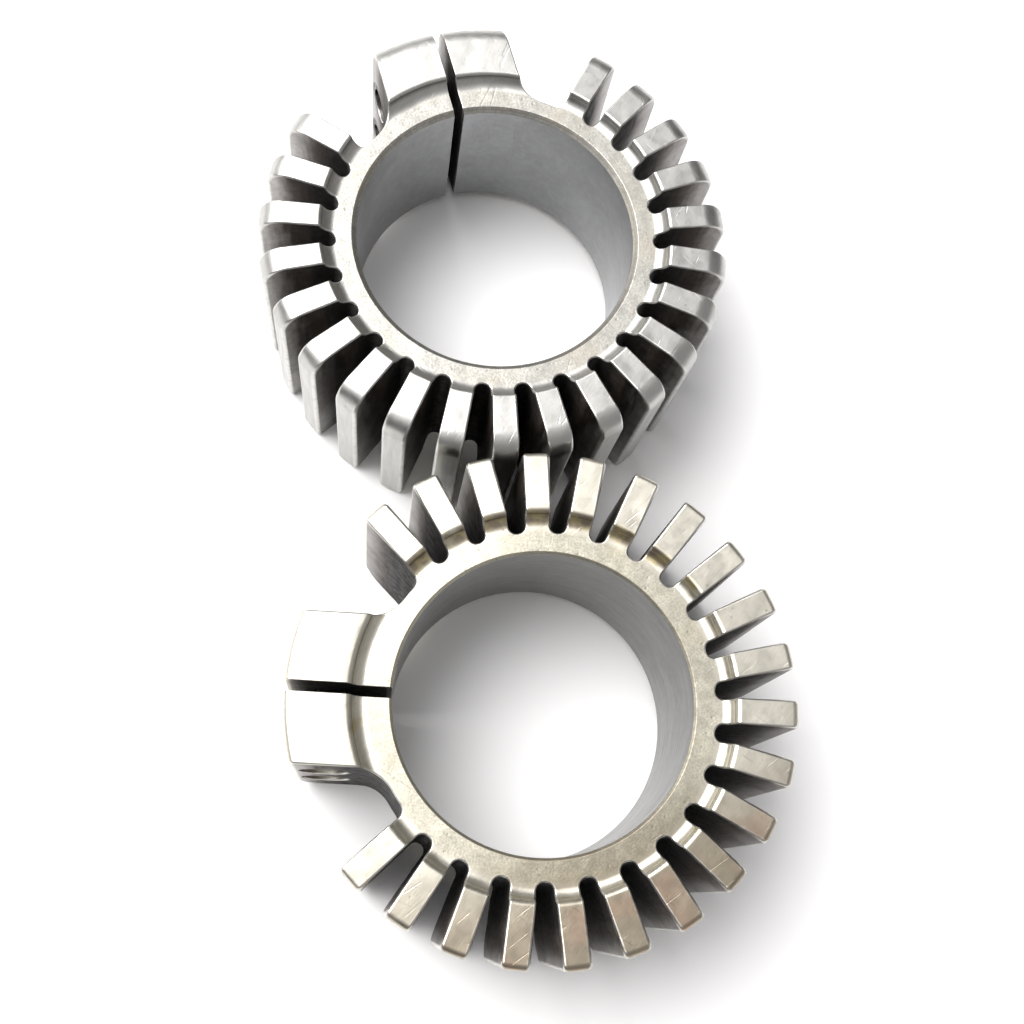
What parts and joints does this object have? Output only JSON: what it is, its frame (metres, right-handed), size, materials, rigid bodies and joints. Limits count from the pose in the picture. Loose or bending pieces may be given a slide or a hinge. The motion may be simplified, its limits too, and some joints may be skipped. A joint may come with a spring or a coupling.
{
  "type": "finned split clamp ring pair",
  "caption": "Pair of finned cast split clamp rings for round pipe, each slit through a boss and closed by recessed cap screws.",
  "frame": {"origin": "centre of the first ring's bore, half-way along its width", "axes": "+Z along both bores, up when the pair lies flat; +X from the first ring's bore to the second's; +Y completes the right-handed frame"},
  "size_m": [0.1506, 0.0756, 0.032],
  "materials": {
    "cast_aluminium": "tumbled satin casting",
    "screw_steel": "bright zinc",
    "washer_steel": "spring steel, dull",
    "insert_steel": "passivated"
  },
  "bodies": {
    "ring_a": {"finned_ring_a": "cast_aluminium", "threaded_insert_a_upper": "insert_steel", "threaded_insert_a_lower": "insert_steel"},
    "ring_b": {"finned_ring_b": "cast_aluminium", "threaded_insert_b_upper": "insert_steel", "threaded_insert_b_lower": "insert_steel"},
    "washer_a_upper": {"lock_washer_a_upper": "washer_steel"},
    "screw_a_upper": {"cap_screw_a_upper": "screw_steel"},
    "washer_a_lower": {"lock_washer_a_lower": "washer_steel"},
    "screw_a_lower": {"cap_screw_a_lower": "screw_steel"},
    "washer_b_upper": {"lock_washer_b_upper": "washer_steel"},
    "screw_b_upper": {"cap_screw_b_upper": "screw_steel"},
    "washer_b_lower": {"lock_washer_b_lower": "washer_steel"},
    "screw_b_lower": {"cap_screw_b_lower": "screw_steel"}
  },
  "joints": [
    {"name": "ring_b_lift", "type": "slide", "parent": "ring_a", "child": "ring_b", "axis": [0, 0, 1], "range_m": [0, 0.06]},
    {"name": "screw_a_upper_travel", "type": "slide", "parent": "ring_a", "child": "washer_a_upper", "axis": [-0.1788, 0.9839, 0], "range_m": [0, 0.0056]},
    {"name": "screw_a_upper_turn", "type": "hinge", "parent": "washer_a_upper", "child": "screw_a_upper", "pos_m": [-0.03089, -0.00561, 0.0056], "axis": [-0.1788, 0.9839, 0], "range_deg": [0, 2881]},
    {"name": "screw_a_lower_travel", "type": "slide", "parent": "ring_a", "child": "washer_a_lower", "axis": [-0.1788, 0.9839, 0], "range_m": [0, 0.0056]},
    {"name": "screw_a_lower_turn", "type": "hinge", "parent": "washer_a_lower", "child": "screw_a_lower", "pos_m": [-0.03089, -0.00561, -0.0056], "axis": [-0.1788, 0.9839, 0], "range_deg": [0, 2881]},
    {"name": "screw_b_upper_travel", "type": "slide", "parent": "ring_b", "child": "washer_b_upper", "axis": [0.99, -0.1409, 0], "range_m": [0, 0.0056]},
    {"name": "screw_b_upper_turn", "type": "hinge", "parent": "washer_b_upper", "child": "screw_b_upper", "pos_m": [0.07058, -0.03109, 0.0056], "axis": [0.99, -0.1409, 0], "range_deg": [0, 2881]},
    {"name": "screw_b_lower_travel", "type": "slide", "parent": "ring_b", "child": "washer_b_lower", "axis": [0.99, -0.1409, 0], "range_m": [0, 0.0056]},
    {"name": "screw_b_lower_turn", "type": "hinge", "parent": "washer_b_lower", "child": "screw_b_lower", "pos_m": [0.07058, -0.03109, -0.0056], "axis": [0.99, -0.1409, 0], "range_deg": [0, 2881]}
  ],
  "couplings": [
    {"joint": "screw_a_upper_turn", "follows": "screw_a_upper_travel", "rad_per_m": 8976},
    {"joint": "screw_a_lower_turn", "follows": "screw_a_lower_travel", "rad_per_m": 8976},
    {"joint": "screw_b_upper_turn", "follows": "screw_b_upper_travel", "rad_per_m": 8976},
    {"joint": "screw_b_lower_turn", "follows": "screw_b_lower_travel", "rad_per_m": 8976}
  ]
}
